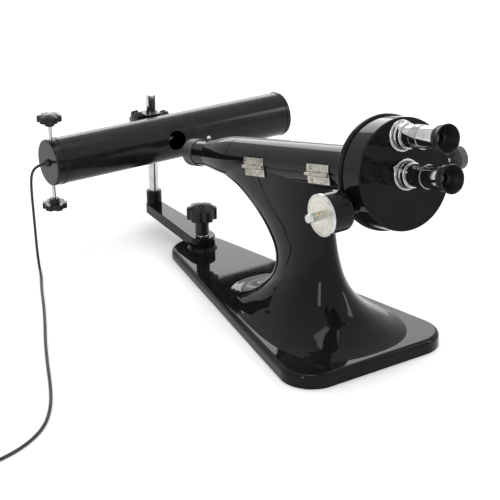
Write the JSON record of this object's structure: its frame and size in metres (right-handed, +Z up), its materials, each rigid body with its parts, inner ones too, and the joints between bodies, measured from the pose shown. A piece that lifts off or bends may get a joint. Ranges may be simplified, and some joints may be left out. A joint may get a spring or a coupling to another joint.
{
  "type": "polarimeter",
  "caption": "Bench polarimeter: cast stand with a tilted trough and hinged lid, round analyser head with eyepieces, polariser tube and a tubular lamp on a swinging arm.",
  "frame": {"origin": "On the underside of the stand's foot, in the stand's plane of symmetry, 210 mm behind the foot's front edge", "axes": "+Z up, -Y towards the observer at the eyepieces, +Y towards the lamp, +X to the observer's right"},
  "size_m": [0.7009, 0.6417, 0.318],
  "materials": {
    "enamel": "glossy stove enamel",
    "enamel_lamp": "satin black enamel",
    "rim_paint": "matt grey black",
    "chrome": "polished plating",
    "nickel": "nickel plated",
    "dial": "fine satin",
    "brass": "turned and lacquered",
    "glass": "polished",
    "knob_plastic": "moulded phenolic",
    "eyecup_plastic": "turned hard rubber",
    "dark_knob": "matt",
    "cord_sheath": "matt sheath",
    "plug_plastic": "moulded"
  },
  "bodies": {
    "stand": {"stand_casting": "enamel", "nose_cover": "enamel", "polariser_tube": "enamel", "polariser_rim": "rim_paint", "condenser_lens": "glass", "polariser_prism": "glass", "hinge_leaves_lower": "nickel", "hinge_pins": "nickel", "hinge_screws_lower": "nickel", "back_plate": "enamel", "drum_cover": "enamel", "eyepiece_flanges": "chrome", "flange_screw": "chrome", "vernier_plate": "dial", "drive_housing": "enamel"},
    "half_shade": {"shade_ring": "brass", "shade_lever": "chrome", "shade_plate": "glass"},
    "lid_body": {"lid": "enamel", "hinge_leaves_upper": "nickel", "hinge_screws_upper": "nickel"},
    "analyser": {"analyser_tube": "brass", "worm_wheel": "brass", "divided_circle": "dial", "analyser_prism": "glass"},
    "fine_drive": {"worm_shaft": "nickel", "drive_dial": "dial", "drive_stub": "chrome", "stub_screw": "brass"},
    "circle_lock": {"lock_screw": "chrome", "lock_knob": "dark_knob"},
    "lower_eyepiece": {"lower_eyetube": "chrome", "lower_eye_lens": "glass", "lower_eyecup": "eyecup_plastic"},
    "upper_eyepiece": {"upper_eyetube": "chrome", "upper_eye_lens": "glass", "upper_eyecup": "eyecup_plastic"},
    "lamp_arm": {"arm": "enamel", "rod_collar": "enamel", "lamp_rod": "chrome"},
    "clamp": {"clamp_stud": "nickel", "clamp_knob": "knob_plastic", "clamp_washer": "chrome"},
    "carriage": {"rod_block": "enamel"},
    "rod_screw": {"rod_knob": "knob_plastic"},
    "tilt_screw": {"tilt_knob": "knob_plastic"},
    "lamp": {"lamp_saddle": "enamel", "lamp_tube": "enamel_lamp", "socket_cap": "enamel_lamp", "far_cap": "enamel_lamp", "sodium_bulb": "glass", "cord_gland": "cord_sheath", "cord": "cord_sheath", "cord_coil": "cord_sheath", "cord_plug": "plug_plastic"},
    "cap_screw_top": {"cap_screw_upper": "chrome", "cap_knob_upper": "knob_plastic"},
    "cap_screw_bottom": {"cap_screw_lower": "chrome", "cap_knob_lower": "knob_plastic"}
  },
  "joints": [
    {"name": "lid_hinge", "type": "hinge", "parent": "stand", "child": "lid_body", "pos_m": [-0.0282, -0.06765, 0.20074], "axis": [0, -0.972, 0.2351], "range_deg": [0, 110]},
    {"name": "analyser_turn", "type": "hinge", "parent": "stand", "child": "analyser", "pos_m": [0, -0.21666, 0.23972], "axis": [0, -0.972, 0.2351], "continuous": true},
    {"name": "fine_drive_turn", "type": "hinge", "parent": "stand", "child": "fine_drive", "pos_m": [0, -0.22266, 0.21494], "axis": [1, 0, 0], "continuous": true},
    {"name": "circle_lock_turn", "type": "hinge", "parent": "stand", "child": "circle_lock", "pos_m": [0, -0.22541, 0.24184], "axis": [1, 0, 0], "continuous": true},
    {"name": "half_shade_turn", "type": "hinge", "parent": "stand", "child": "half_shade", "pos_m": [0, 0.14685, 0.15178], "axis": [0, -0.972, 0.2351], "range_deg": [-10, 10]},
    {"name": "lower_focus", "type": "slide", "parent": "stand", "child": "lower_eyepiece", "axis": [0, -0.972, 0.2351], "range_m": [-0.003, 0.003]},
    {"name": "upper_focus", "type": "slide", "parent": "stand", "child": "upper_eyepiece", "axis": [0, -0.972, 0.2351], "range_m": [-0.003, 0.003]},
    {"name": "arm_swing", "type": "hinge", "parent": "stand", "child": "lamp_arm", "pos_m": [0, 0.173, 0.0238], "axis": [0, 0, 1], "range_deg": [-20, 20]},
    {"name": "clamp_turn", "type": "hinge", "parent": "stand", "child": "clamp", "pos_m": [0, 0.173, 0.04], "axis": [0, 0, 1], "range_deg": [-360, 360]},
    {"name": "carriage_slide", "type": "slide", "parent": "lamp_arm", "child": "carriage", "axis": [0, 0, 1], "range_m": [-0.018, 0.012]},
    {"name": "rod_screw_turn", "type": "hinge", "parent": "carriage", "child": "rod_screw", "pos_m": [-0.02, 0.30797, 0.153], "axis": [1, 0, 0], "range_deg": [-360, 360]},
    {"name": "tilt_screw_turn", "type": "hinge", "parent": "carriage", "child": "tilt_screw", "pos_m": [0.018, 0.30797, 0.15], "axis": [1, 0, 0], "range_deg": [-360, 360]},
    {"name": "lamp_tilt", "type": "hinge", "parent": "carriage", "child": "lamp", "pos_m": [0.018, 0.30797, 0.15], "axis": [1, 0, 0], "range_deg": [-8, 8]},
    {"name": "cap_screw_top_turn", "type": "hinge", "parent": "lamp", "child": "cap_screw_top", "pos_m": [-0.169, 0.26127, 0.18], "axis": [0, 0, 1], "range_deg": [-360, 360]},
    {"name": "cap_screw_bottom_turn", "type": "hinge", "parent": "lamp", "child": "cap_screw_bottom", "pos_m": [-0.169, 0.26127, 0.1], "axis": [0, 0, 1], "range_deg": [-360, 360]}
  ],
  "couplings": [
    {"joint": "fine_drive_turn", "follows": "analyser_turn", "ratio": 60}
  ]
}
